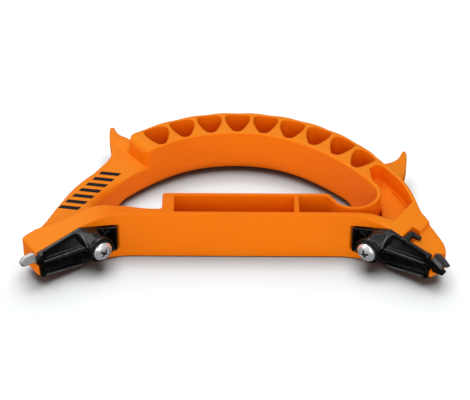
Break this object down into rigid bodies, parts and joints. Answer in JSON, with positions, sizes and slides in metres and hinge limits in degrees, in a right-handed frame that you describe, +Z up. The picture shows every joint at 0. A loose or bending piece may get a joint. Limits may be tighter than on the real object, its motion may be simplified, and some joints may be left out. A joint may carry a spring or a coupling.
{
  "type": "bow-handled two-tip hand tool",
  "caption": "Moulded hand tool with a straight beam, a bowed grip with open cells and hand stops, and a ribbed arm with a steel tip screwed to each forward-angled end.",
  "frame": {"origin": "centre of the beam's flat underside, which is the face the tool rests on", "axes": "+X along the beam towards the forked tip, +Y from the beam towards the bowed grip, +Z up out of the open cells"},
  "size_m": [0.2005, 0.1079, 0.0264],
  "materials": {
    "orange_moulding": "semi-matt moulded plastic",
    "black_moulding": "glossy glass-filled plastic",
    "bright_steel": "ground bright steel",
    "dark_steel": "hardened dark grey steel",
    "washer_black": "black rubber-like sealing washer",
    "screw_nickel": "bright nickel plating",
    "insert_brass": "turned brass"
  },
  "bodies": {
    "frame": {"bow_frame": "orange_moulding", "left_insert": "insert_brass", "right_insert": "insert_brass"},
    "left_head": {"left_arm": "black_moulding", "left_blade": "bright_steel", "left_washer": "washer_black"},
    "right_head": {"right_arm": "black_moulding", "right_fork": "dark_steel", "right_washer": "washer_black"},
    "left_bolt": {"left_screw": "screw_nickel"},
    "right_bolt": {"right_screw": "screw_nickel"}
  },
  "joints": [
    {"name": "left_release", "type": "slide", "parent": "frame", "child": "left_head", "axis": [0.5779, -0.8161, 0], "range_m": [0, 0.018]},
    {"name": "right_release", "type": "slide", "parent": "frame", "child": "right_head", "axis": [-0.5779, -0.8161, 0], "range_m": [0, 0.018]},
    {"name": "left_screw_turn", "type": "hinge", "parent": "left_head", "child": "left_bolt", "pos_m": [-0.0676, -0.0126, 0.0132], "axis": [0.5779, -0.8161, 0], "continuous": true},
    {"name": "right_screw_turn", "type": "hinge", "parent": "right_head", "child": "right_bolt", "pos_m": [0.0676, -0.0126, 0.0132], "axis": [-0.5779, -0.8161, 0], "continuous": true}
  ]
}
